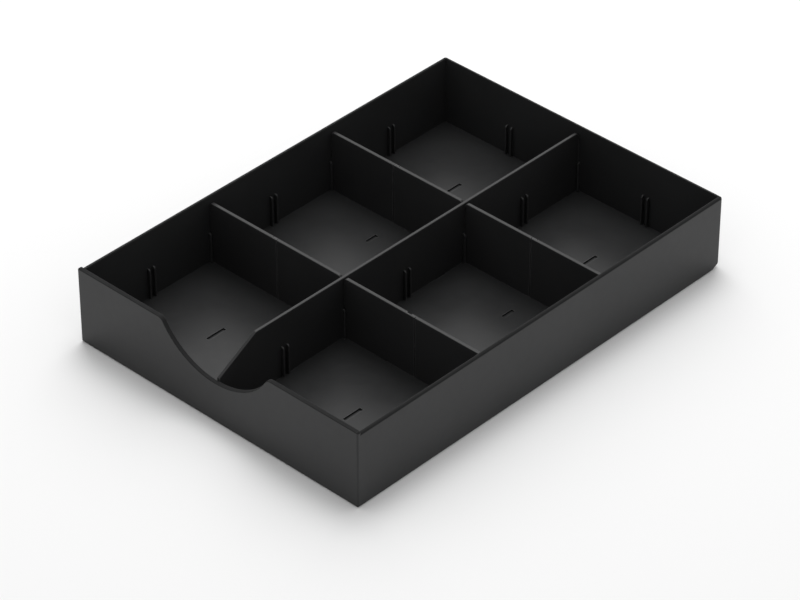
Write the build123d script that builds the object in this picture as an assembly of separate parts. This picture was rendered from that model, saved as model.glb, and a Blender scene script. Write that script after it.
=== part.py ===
from build123d import *
import os

# Drawer tray with removable dividers: one open moulding, one lengthwise divider and
# two cross dividers, each cross divider made of four quarter-width leaves.
# All lengths are in millimetres. X runs along the front panel, Y from front to back,
# Z up; the origin is the centre of the footprint on the resting plane.

# Overall size
tray_width = 249.2
tray_depth = 348.0
panel_height = 58.4
wall_height = 56.8

# Mouldings
panel_thickness = 3.2
wall_thickness = 2.5
back_thickness = 2.2
floor_top = 4.7
floor_thickness = 2.2
corner_radius = 2.0
rim_radius = 1.7
inner_rim_radius = 0.3
rail_radius = 1.2
panel_rim_radius = 0.7
panel_edge_radius = 1.2

# Raised rear end of the resting rails
bevel_run = 8.5
bevel_rise = 4.2

# Finger scoop in the front panel
scoop_width = 94.0
scoop_depth = 27.0
scoop_corner_radius = 5.0

# Guide ribs
rib_thickness = 1.2
rib_projection = 2.3
rib_top = 28.4
rib_round = 1.9
rib_edge_radius = 0.35
front_rib_top = 27.0
front_pair_shift = 1.5

# Dividers
divider_thickness = 2.2
leaf_thickness = 2.6
divider_top = 52.0
divider_edge_radius = 0.5
end_clearance = 0.3
side_clearance = 0.4
leaf_corner_radius = 2.5

# Lowered front end of the lengthwise divider
ramp_length = 33.0
ramp_drop = 18.5

# Half-thickness lap joining two leaves; the setback opens a recess beside one longer tongue
lap_overlap = 4.0
lap_clearance = 0.6
lap_face_gap = 0.1
lap_setback = 3.6

# Floor slots and the lugs that stand in them
slot_depth = 1.2
lug_clearance = 0.3
end_slot_length = 15.6
middle_slot_length = 10.0
end_slot_reach = 113.6
middle_slot_reach = 33.0

# Derived sizes
inner_half_width = tray_width / 2 - wall_thickness
inner_front = panel_thickness - tray_depth / 2
inner_back = tray_depth / 2 - back_thickness
inner_middle = (inner_front + inner_back) / 2
floor_underside = floor_top - floor_thickness
slot_width = divider_thickness + 2 * lug_clearance
quarter_pitch = (2 * inner_half_width + divider_thickness) / 4
row_pitch = (inner_back - inner_front + leaf_thickness) / 6
rib_offset = (leaf_thickness + rib_thickness) / 2 + side_clearance
slots = [(-end_slot_reach, end_slot_length), (-middle_slot_reach, middle_slot_length),
         (middle_slot_reach, middle_slot_length), (end_slot_reach, end_slot_length)]


def block(x0, x1, y0, y1, z0, z1):
    """Box between two opposite corners."""
    return Pos((x0 + x1) / 2, (y0 + y1) / 2, (z0 + z1) / 2) * Box(x1 - x0, y1 - y0, z1 - z0)


def front_panel():
    """Front panel, as wide as the body and taller, with the finger scoop."""
    half_chord = scoop_width / 2
    scoop_radius = (half_chord**2 + scoop_depth**2) / (2 * scoop_depth)
    scoop_centre = panel_height - scoop_depth + scoop_radius
    above = Pos(0, panel_height + scoop_radius) * Rectangle(2 * tray_width, 2 * scoop_radius)
    scoop = Pos(0, scoop_centre) * Circle(scoop_radius) + above
    meeting = scoop.vertices().filter_by(lambda v: abs(abs(v.X) - half_chord) < 1.0)
    scoop = fillet(meeting, scoop_corner_radius)
    plate = Pos(0, panel_height / 2) * Rectangle(tray_width, panel_height)
    panel = extrude(Plane.XZ * (plate - scoop), -panel_thickness)
    front = -tray_depth / 2
    panel = Pos(0, front, 0) * panel
    panel = fillet(panel.edges().filter_by(lambda e: is_panel_rim(e, inner_front)), inner_rim_radius)
    panel = fillet(panel.edges().filter_by(lambda e: is_panel_rim(e, front)), panel_rim_radius)
    return fillet(panel.edges().filter_by(is_panel_end_or_foot), panel_edge_radius)


def is_panel_rim(edge, y):
    """True for the edges along the top of the panel and its scoop in the plane at y."""
    box = edge.bounding_box()
    in_plane = abs(box.min.Y - y) < 0.01 and abs(box.max.Y - y) < 0.01
    return in_plane and box.max.Z > 1 and box.max.X - box.min.X > 0.1


def is_panel_end_or_foot(edge):
    """True for the edges around both ends of the panel, save at the rear, and its front foot."""
    box = edge.bounding_box()
    end = box.max.X - box.min.X < 0.01 and abs(box.max.X) > tray_width / 2 - 0.02
    foot = box.max.Z < 0.01 and box.max.Y < 0.01 - tray_depth / 2
    return foot or (end and box.min.Y < inner_front - inner_rim_radius - 0.1)


def rib_profile(top, bottom):
    """Side view of a guide rib: flat against the wall, rounded off at its upper end."""
    with BuildSketch() as profile:
        with BuildLine():
            Line((0, bottom), (0, top))
            Line((0, top), (rib_projection - rib_round, top))
            shoulder = (rib_projection, top - rib_round)
            TangentArc((rib_projection - rib_round, top), shoulder, tangent=(1, 0))
            Line(shoulder, (rib_projection, bottom))
            Line((rib_projection, bottom), (0, bottom))
        make_face()
    return profile.sketch


def rib(x, y, turn, top=rib_top, bottom=floor_top):
    """One guide rib rooted at x, y and pointing outwards in the turn direction."""
    plate = extrude(Plane.XZ * rib_profile(top, bottom), rib_thickness / 2, both=True)
    plate = fillet(plate.edges().filter_by(lambda e: is_crest(e, bottom)), rib_edge_radius)
    return Pos(x, y, 0) * Rot(0, 0, turn) * plate


def is_crest(edge, bottom):
    """True for the two edges that run over the top and down the crest of a rib."""
    box = edge.bounding_box()
    along = box.max.Y - box.min.Y < 0.01
    return along and box.max.X > 0.1 and box.max.Z > bottom + 0.1


def rib_pairs_along_y(x, turn):
    """Pairs of ribs on one lengthwise face, one pair for every divider position."""
    rows = [inner_middle + row_pitch * k for k in range(-2, 3)]
    rows[0] += front_pair_shift
    return [rib(x, row + side * rib_offset, turn) for row in rows for side in (-1, 1)]


def rib_pairs_along_x(y, turn, top):
    """Pairs of ribs on the back wall or behind the front panel."""
    columns = [quarter_pitch * k for k in (-1, 0, 1)]
    return [rib(column + side * rib_offset, y, turn, top) for column in columns for side in (-1, 1)]


def tray():
    """Open moulding: floor, four walls, resting rails, guide ribs and floor slots."""
    front = inner_front - panel_thickness / 2
    back = tray_depth / 2
    shell = block(-tray_width / 2, tray_width / 2, front, back, 0, wall_height)
    upright = shell.edges().filter_by(Axis.Z).filter_by(lambda e: e.center().Y > 0)
    shell = fillet(upright, corner_radius)
    inside = block(-inner_half_width, inner_half_width, front - 1, inner_back, floor_top, panel_height)
    below = block(-inner_half_width, inner_half_width, inner_front, inner_back, 0, floor_underside)
    shell = shell - inside - below
    shell = fillet(shell.edges().filter_by(is_outer).filter_by(lambda e: lies_at(e, 0)), rail_radius)
    shell = fillet(shell.edges().filter_by(is_outer).filter_by(lambda e: lies_at(e, wall_height)), rim_radius)
    shell = fillet(shell.edges().filter_by(is_inner_rim), inner_rim_radius)
    body = shell + front_panel()
    for cut in floor_slots():
        body -= cut
    body -= rear_bevel()
    for piece in rib_pairs_along_y(-inner_half_width, 0):
        body += piece
    for piece in rib_pairs_along_y(inner_half_width, 180):
        body += piece
    for piece in rib_pairs_along_x(inner_back, -90, rib_top):
        body += piece
    for piece in rib_pairs_along_x(inner_front, 90, front_rib_top):
        body += piece
    return body


def is_outer(edge):
    """True for edges that run around the outside of the side and back walls."""
    middle = edge.center()
    sideways = abs(middle.X) > inner_half_width + 0.75 * wall_thickness
    rearwards = middle.Y > inner_back + 0.75 * back_thickness
    return sideways or rearwards


def lies_at(edge, height):
    """True for an edge that lies level at the given height."""
    box = edge.bounding_box()
    return abs(box.min.Z - height) < 0.01 and abs(box.max.Z - height) < 0.01


def is_inner_rim(edge):
    """True for the inner rim edges of the side and back walls."""
    middle = edge.center()
    beside = abs(abs(middle.X) - inner_half_width) < 0.01
    behind = abs(middle.Y - inner_back) < 0.01
    return lies_at(edge, wall_height) and (beside or behind)


def floor_slots():
    """Short slots in the floor that locate the lugs of a lengthwise divider."""
    cuts = []
    for column in (-1, 0, 1):
        for reach, length in slots:
            x = column * quarter_pitch
            y = inner_middle + reach
            cuts.append(block(x - slot_width / 2, x + slot_width / 2, y - length / 2, y + length / 2,
                              floor_top - slot_depth, floor_top + 1))
    return cuts


def rear_bevel():
    """Wedge taken off the underside of the rear end."""
    start = tray_depth / 2 - bevel_run
    end = tray_depth / 2 + 1
    rise = bevel_rise * (bevel_run + 1) / bevel_run
    wedge = Polygon((start, 0), (end, rise), (end, -1), (start, -1), align=None)
    return extrude(Plane.YZ * wedge, tray_width, both=True)


def centre_divider():
    """Lengthwise divider: plate with a lowered front end, guide ribs and floor lugs."""
    front = inner_front + end_clearance
    back = inner_back - end_clearance
    low = divider_top - ramp_drop
    corner = leaf_corner_radius
    outline = Polygon((front, floor_top), (back, floor_top), (back, divider_top - corner),
                      (back - corner, divider_top), (front + ramp_length, divider_top), (front, low),
                      align=None)
    plate = extrude(Plane.YZ * outline, divider_thickness / 2, both=True)
    upper = plate.edges().filter_by(lambda e: abs(e.center().X) > 0.1 and is_upper(e))
    plate = fillet(upper, divider_edge_radius)
    for reach, length in slots:
        y = inner_middle + reach
        half = length / 2 - lug_clearance
        plate += block(-divider_thickness / 2, divider_thickness / 2, y - half, y + half,
                       floor_top - slot_depth + lug_clearance, floor_top + 1)
    for piece in rib_pairs_along_y(divider_thickness / 2, 0):
        plate += piece
    for piece in rib_pairs_along_y(-divider_thickness / 2, 180):
        plate += piece
    return plate


def is_upper(edge):
    """True for plate edges above the straight front and rear ends."""
    low_end = divider_top - ramp_drop
    box = edge.bounding_box()
    return box.max.Z > low_end + 0.1 and abs(box.max.Y - box.min.Y) > 0.1


def leaf(tongue=lap_overlap):
    """Quarter-width leaf lying along X from its square end at x = 0 to its lap tongue.

    The tongue is the half of the thickness towards -Y.
    """
    middle = quarter_pitch - divider_thickness / 2 - end_clearance
    step = middle - (lap_overlap + lap_clearance) / 2
    setback = tongue - lap_overlap
    length = step + lap_overlap
    half = leaf_thickness / 2
    outline = Polygon((0, floor_top), (length, floor_top), (length, divider_top), (0, divider_top),
                      align=None)
    upper_end = outline.vertices().filter_by(lambda v: v.X < 1 and v.Y > floor_top + 1)
    outline = fillet(upper_end, leaf_corner_radius)
    plate = extrude(Plane.XZ * outline, half, both=True)
    upper = plate.edges().filter_by(is_leaf_top)
    plate = fillet(upper, divider_edge_radius)
    relief = block(step - setback, length + 1, -lap_face_gap / 2, half + 1, 0, divider_top + 1)
    return plate - relief


def is_leaf_top(edge):
    """True for the long upper edges of a leaf and the arcs at its square end."""
    box = edge.bounding_box()
    along = box.max.X - box.min.X > 0.1
    return along and box.max.Z > divider_top - leaf_corner_radius + 0.1


def place_inner_leaf(piece, row, side, other_hand):
    """Leaf from the lengthwise divider outwards; side is +1 right, -1 left.

    The other hand has its tongue on the opposite face.
    """
    start = side * (divider_thickness / 2 + end_clearance)
    flipped = mirror(piece, Plane.XZ) if other_hand else piece
    facing = flipped if side > 0 else Rot(0, 0, 180) * flipped
    return Pos(start, row, 0) * facing


def place_outer_leaf(piece, row, side, other_hand):
    """Leaf from a side wall inwards; side is +1 right, -1 left.

    The other hand has its tongue on the opposite face.
    """
    start = side * (inner_half_width - end_clearance)
    flipped = mirror(piece, Plane.XZ) if other_hand else piece
    facing = Rot(0, 0, 180) * flipped if side > 0 else flipped
    return Pos(start, row, 0) * facing


def build():
    """Every separate piece, keyed by the name of its file."""
    front_row = inner_middle - row_pitch
    back_row = inner_middle + row_pitch
    plain = leaf()
    longer = leaf(lap_overlap + lap_setback)
    return {
        "tray": tray(),
        "centre_divider": centre_divider(),
        "leaf_front_left_outer": place_outer_leaf(plain, front_row, -1, False),
        "leaf_front_left_inner": place_inner_leaf(plain, front_row, -1, False),
        "leaf_front_right_inner": place_inner_leaf(longer, front_row, 1, False),
        "leaf_front_right_outer": place_outer_leaf(plain, front_row, 1, False),
        "leaf_back_left_outer": place_outer_leaf(plain, back_row, -1, True),
        "leaf_back_left_inner": place_inner_leaf(plain, back_row, -1, True),
        "leaf_back_right_inner": place_inner_leaf(plain, back_row, 1, True),
        "leaf_back_right_outer": place_outer_leaf(plain, back_row, 1, True),
    }


os.makedirs("parts", exist_ok=True)
for name, shape in build().items():
    export_step(shape, f"parts/{name}.step")
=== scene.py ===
import math

import bpy
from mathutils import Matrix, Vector


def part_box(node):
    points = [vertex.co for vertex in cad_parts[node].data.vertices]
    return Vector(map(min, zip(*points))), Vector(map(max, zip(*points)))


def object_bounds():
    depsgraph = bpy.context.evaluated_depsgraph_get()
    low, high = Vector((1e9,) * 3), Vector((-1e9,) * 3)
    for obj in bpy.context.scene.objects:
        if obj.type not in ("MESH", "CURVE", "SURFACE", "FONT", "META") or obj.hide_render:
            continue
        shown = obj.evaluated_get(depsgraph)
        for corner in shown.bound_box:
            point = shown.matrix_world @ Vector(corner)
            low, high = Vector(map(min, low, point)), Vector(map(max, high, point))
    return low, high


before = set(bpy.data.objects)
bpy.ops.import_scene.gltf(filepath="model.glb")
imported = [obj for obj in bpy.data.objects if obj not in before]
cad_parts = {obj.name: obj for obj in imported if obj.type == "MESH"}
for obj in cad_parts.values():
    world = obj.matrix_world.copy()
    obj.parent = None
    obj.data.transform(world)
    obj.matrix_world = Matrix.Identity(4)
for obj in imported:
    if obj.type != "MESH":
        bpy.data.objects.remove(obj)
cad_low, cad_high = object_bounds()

# Lengths are in metres and angles in degrees

# ---------------------------------------------------------------- camera
CAMERA_AZIMUTH = 43.30
CAMERA_ELEVATION = 36.45
CAMERA_DISTANCE = 2.4804
# In millimetres
CAMERA_LENS = 172.62
CAMERA_SENSOR_WIDTH = 36.0
# Where the camera looks, from the middle of the object's box
AIM_OFFSET = Vector((0.02335, -0.02901, 0.0008))

# ---------------------------------------------------------------- finish
# Noise in cycles per metre: broad clouds, small mottle, fine grain
CLOUD_SCALE = 14
MOTTLE_SCALE = 160
GRAIN_SCALE = 2600
GRAIN_HEIGHT = 0.00003
# Fine scratches front to back and side to side: cycles per metre along x, y
# and z, and a turn that only picks another part of the noise
LONG_SCRATCHES = ((420, 26, 300), 12)
CROSS_SCRATCHES = ((30, 380, 300), -8)
# The span of noise that is used: nearly all of it, or its peaks alone
NOISE_SPAN = (0.3, 0.7)
SCRATCH_SPAN = (0.66, 0.78)

# Convex edges within this distance are painted lighter, partly as wear and partly as a
# painted highlight, and made smoother
WEAR_AND_HIGHLIGHT_WIDTH = 0.0008
WEAR_AND_HIGHLIGHT_SAMPLES = 6
# How open a surface is where the wear and painted highlight begin, and where they are full
WEAR_AND_HIGHLIGHT_SPAN = (0.85, 0.45)
WEAR_AND_HIGHLIGHT_LEAST = 0.4
WEAR_AND_HIGHLIGHT_STRENGTH = 0.8

# The matt top of the tray's rims, its colour also darkened as painted shade: how far below
# the highest point it starts
TRAY_RIM_DROP = 0.0042
# The front panel from its face to its back: its top is matt and darkened as painted shade
# down in the scoop too
PANEL_THICKNESS = 0.0033
RIM_FADE = 0.0004
# The upward part of a normal where a rim begins, and where it is full
RIM_SPAN = (0.1, 0.4)

# Colours as factors of the plastic's own, the painted shade on the rims' tops, and the grey
# that edge wear and painted edge highlights add
DARK_TONE = 0.86
LIGHT_TONE = 1.16
# Painted shade: the rims' upward tops are darkened to this factor
RIM_SHADE_TONE = 0.35
# Edge wear and painted highlight: convex edges are lightened towards this grey
WEAR_AND_HIGHLIGHT_TONE = 2.0
WEAR_AND_HIGHLIGHT_LIFT = 0.07

# What each mark adds to the roughness, or takes from it
CLOUD_ROUGHNESS = 0.02
MOTTLE_ROUGHNESS = 0.035
SCRATCH_ROUGHNESS = 0.05
RIM_ROUGHNESS = 0.45
WORN_POLISH = 0.06

# ---------------------------------------------------------------- stage
FLOOR_HALF = 6.0
FLOOR_GAP = 0.0002
FLOOR_WHITE = (0.86, 0.86, 0.86, 1)
FLOOR_ROUGHNESS = 0.9
WORLD_WHITE = (1, 1, 1, 1)
WORLD_STRENGTH = 0.62
# Square lamps: name, azimuth, elevation, side, power in watts
SOFTBOXES = (
    ("back_left_box", -137, 44, 1.9, 14),
    ("overhead_box", -137, 78, 1.2, 22),
)
SOFTBOX_DISTANCE = 2.2


def direction(azimuth, elevation):
    """Unit vector from the object towards that azimuth and elevation."""
    a = math.radians(azimuth)
    e = math.radians(elevation)
    return Vector((math.sin(a) * math.cos(e), -math.cos(a) * math.cos(e), math.sin(e)))


def link(tree, source, target):
    tree.links.new(source, target)


def node(tree, kind, **settings):
    made = tree.nodes.new(kind)
    for key, value in settings.items():
        setattr(made, key, value)
    return made


def noise(tree, vector, scale, detail, rough=0.5):
    made = node(tree, "ShaderNodeTexNoise")
    made.inputs["Scale"].default_value = scale
    made.inputs["Detail"].default_value = detail
    made.inputs["Roughness"].default_value = rough
    link(tree, vector, made.inputs["Vector"])
    return made.outputs["Fac"]


def remap(tree, value, span, low, high):
    """Low at the start of the span, high at its end, and clamped beyond them."""
    made = node(tree, "ShaderNodeMapRange")
    made.inputs["From Min"].default_value, made.inputs["From Max"].default_value = span
    made.inputs["To Min"].default_value = low
    made.inputs["To Max"].default_value = high
    link(tree, value, made.inputs["Value"])
    return made.outputs["Result"]


def maths(tree, operation, first, second):
    made = node(tree, "ShaderNodeMath", operation=operation)
    for socket, value in zip(made.inputs, (first, second)):
        if isinstance(value, (int, float)):
            socket.default_value = value
        else:
            link(tree, value, socket)
    return made.outputs["Value"]


def blend_colour(tree, factor, first, second):
    """First where the factor is 0, second where it is 1."""
    made = node(tree, "ShaderNodeMix", data_type="RGBA")
    link(tree, factor, made.inputs["Factor"])
    sockets = [socket for socket in made.inputs if socket.type == "RGBA"]
    for socket, value in zip(sockets, (first, second)):
        if isinstance(value, tuple):
            socket.default_value = value
        else:
            link(tree, value, socket)
    return next(socket for socket in made.outputs if socket.type == "RGBA")


def scratches(tree, place, scale, turn):
    """1 along thin streaks, 0 between them."""
    stretched = node(tree, "ShaderNodeMapping")
    stretched.inputs["Scale"].default_value = scale
    stretched.inputs["Rotation"].default_value = (0, 0, math.radians(turn))
    link(tree, place, stretched.inputs["Vector"])
    return remap(tree, noise(tree, stretched.outputs["Vector"], 1, 3), SCRATCH_SPAN, 0, 1)


def wear_and_highlight_mask(tree, mottle):
    """1 on convex edges, broken up by the mottle: edge wear and a painted edge highlight."""
    made = node(tree, "ShaderNodeAmbientOcclusion", samples=WEAR_AND_HIGHLIGHT_SAMPLES,
                inside=True, only_local=True)
    made.inputs["Distance"].default_value = WEAR_AND_HIGHLIGHT_WIDTH
    edge = remap(tree, made.outputs["AO"], WEAR_AND_HIGHLIGHT_SPAN, 0, 1)
    return maths(tree, "MULTIPLY", edge, remap(tree, mottle, NOISE_SPAN, WEAR_AND_HIGHLIGHT_LEAST, 1))


def rim_mask(tree, place, height, depth):
    """1 where a surface faces up, above that height or nearer the front than that depth."""
    facing = node(tree, "ShaderNodeSeparateXYZ")
    geometry = node(tree, "ShaderNodeNewGeometry")
    link(tree, geometry.outputs["True Normal"], facing.inputs["Vector"])
    spot = node(tree, "ShaderNodeSeparateXYZ")
    link(tree, place, spot.inputs["Vector"])
    high = remap(tree, spot.outputs["Z"], (height, height + RIM_FADE), 0, 1)
    ahead = remap(tree, spot.outputs["Y"], (depth, depth - RIM_FADE), 0, 1)
    upward = remap(tree, facing.outputs["Z"], RIM_SPAN, 0, 1)
    return maths(tree, "MULTIPLY", upward, maths(tree, "MAXIMUM", high, ahead))


def shade(colour, factor, lift=0.0):
    return tuple(factor * channel + lift for channel in colour) + (1,)


def moulded_plastic(name, colour, roughness, grain, specular, rim_height, rim_depth):
    material = bpy.data.materials.new(name)
    material.use_nodes = True
    tree = material.node_tree
    shader = tree.nodes["Principled BSDF"]
    place = node(tree, "ShaderNodeTexCoord").outputs["Object"]

    clouds = noise(tree, place, CLOUD_SCALE, 4)
    mottle = noise(tree, place, MOTTLE_SCALE, 4, 0.6)
    pebbles = noise(tree, place, GRAIN_SCALE, 2, 0.6)
    scratched = maths(tree, "MAXIMUM", scratches(tree, place, *LONG_SCRATCHES),
                      scratches(tree, place, *CROSS_SCRATCHES))
    wear_and_highlight = wear_and_highlight_mask(tree, mottle)
    rim = rim_mask(tree, place, rim_height, rim_depth)

    tone = blend_colour(tree, remap(tree, clouds, NOISE_SPAN, 0, 1),
                        shade(colour, DARK_TONE), shade(colour, LIGHT_TONE))
    # Painted shade: the rims' tops are darkened, on top of their matt finish
    tone = blend_colour(tree, rim, tone, shade(colour, RIM_SHADE_TONE))
    # Convex edges are lightened, partly as wear and partly as a painted highlight
    tone = blend_colour(tree, maths(tree, "MULTIPLY", wear_and_highlight, WEAR_AND_HIGHLIGHT_STRENGTH),
                        tone, shade(colour, WEAR_AND_HIGHLIGHT_TONE, WEAR_AND_HIGHLIGHT_LIFT))
    link(tree, tone, shader.inputs["Base Color"])

    rough = maths(tree, "ADD",
                  remap(tree, mottle, NOISE_SPAN, -MOTTLE_ROUGHNESS, MOTTLE_ROUGHNESS),
                  remap(tree, clouds, NOISE_SPAN,
                        roughness - CLOUD_ROUGHNESS, roughness + CLOUD_ROUGHNESS))
    for operation, mask, amount in (("ADD", scratched, SCRATCH_ROUGHNESS),
                                    ("SUBTRACT", wear_and_highlight, WORN_POLISH),
                                    ("ADD", rim, RIM_ROUGHNESS)):
        rough = maths(tree, operation, rough, maths(tree, "MULTIPLY", mask, amount))
    link(tree, rough, shader.inputs["Roughness"])

    bump = node(tree, "ShaderNodeBump")
    bump.inputs["Strength"].default_value = grain
    bump.inputs["Distance"].default_value = GRAIN_HEIGHT
    link(tree, pebbles, bump.inputs["Height"])
    link(tree, bump.outputs["Normal"], shader.inputs["Normal"])
    shader.inputs["Specular IOR Level"].default_value = specular
    shader.inputs["IOR"].default_value = 1.5
    return material


def dress():
    """Give every piece its plastic. The dividers end below the height where the rims are matt
    and painted darker as shade.
    """
    tray_low, tray_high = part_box("tray")
    tray = moulded_plastic("tray_satin", colour=(0.0205, 0.0208, 0.0212),
                           roughness=0.36, grain=0.25, specular=0.25,
                           rim_height=tray_high.z - TRAY_RIM_DROP,
                           rim_depth=tray_low.y + PANEL_THICKNESS)
    divider = moulded_plastic("divider_satin", colour=(0.0195, 0.0196, 0.0200),
                              roughness=0.33, grain=0.15, specular=0.28,
                              rim_height=tray_high.z, rim_depth=tray_low.y)
    for name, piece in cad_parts.items():
        skin = tray if name == "tray" else divider
        for slot in piece.material_slots:
            slot.material = skin


def softbox(name, azimuth, elevation, side, power):
    lamp = bpy.data.lights.new(name, "AREA")
    lamp.shape = "SQUARE"
    lamp.size = side
    lamp.energy = power
    holder = bpy.data.objects.new(name, lamp)
    bpy.context.scene.collection.objects.link(holder)
    towards = direction(azimuth, elevation)
    holder.location = (cad_low + cad_high) / 2 + towards * SOFTBOX_DISTANCE
    holder.rotation_mode = "QUATERNION"
    holder.rotation_quaternion = towards.to_track_quat("Z", "Y")


def make_stage():
    """A plain pale floor under an even sky, with two soft lamps behind the object."""
    half = FLOOR_HALF
    mesh = bpy.data.meshes.new("table")
    mesh.from_pydata([(-half, -half, 0), (half, -half, 0), (half, half, 0), (-half, half, 0)],
                     [], [(0, 1, 2, 3)])
    table = bpy.data.objects.new("table", mesh)
    table.location.z = cad_low.z - FLOOR_GAP
    bpy.context.scene.collection.objects.link(table)
    paper = bpy.data.materials.new("paper")
    paper.use_nodes = True
    shader = paper.node_tree.nodes["Principled BSDF"]
    shader.inputs["Base Color"].default_value = FLOOR_WHITE
    shader.inputs["Roughness"].default_value = FLOOR_ROUGHNESS
    shader.inputs["Specular IOR Level"].default_value = 0.0
    mesh.materials.append(paper)

    world = bpy.data.worlds.new("studio")
    world.use_nodes = True
    background = world.node_tree.nodes["Background"]
    background.inputs["Color"].default_value = WORLD_WHITE
    background.inputs["Strength"].default_value = WORLD_STRENGTH
    bpy.context.scene.world = world

    for lamp in SOFTBOXES:
        softbox(*lamp)


def make_camera():
    camera = bpy.data.objects.new("camera", bpy.data.cameras.new("camera"))
    bpy.context.scene.collection.objects.link(camera)
    camera.data.sensor_fit = "HORIZONTAL"
    camera.data.sensor_width = CAMERA_SENSOR_WIDTH
    camera.data.lens = CAMERA_LENS
    back = direction(CAMERA_AZIMUTH, CAMERA_ELEVATION)
    camera.location = (cad_low + cad_high) / 2 + AIM_OFFSET + back * CAMERA_DISTANCE
    camera.rotation_mode = "QUATERNION"
    camera.rotation_quaternion = (-back).to_track_quat("-Z", "Y")
    bpy.context.scene.camera = camera


dress()
make_stage()
make_camera()
bpy.context.scene.view_settings.view_transform = "Standard"
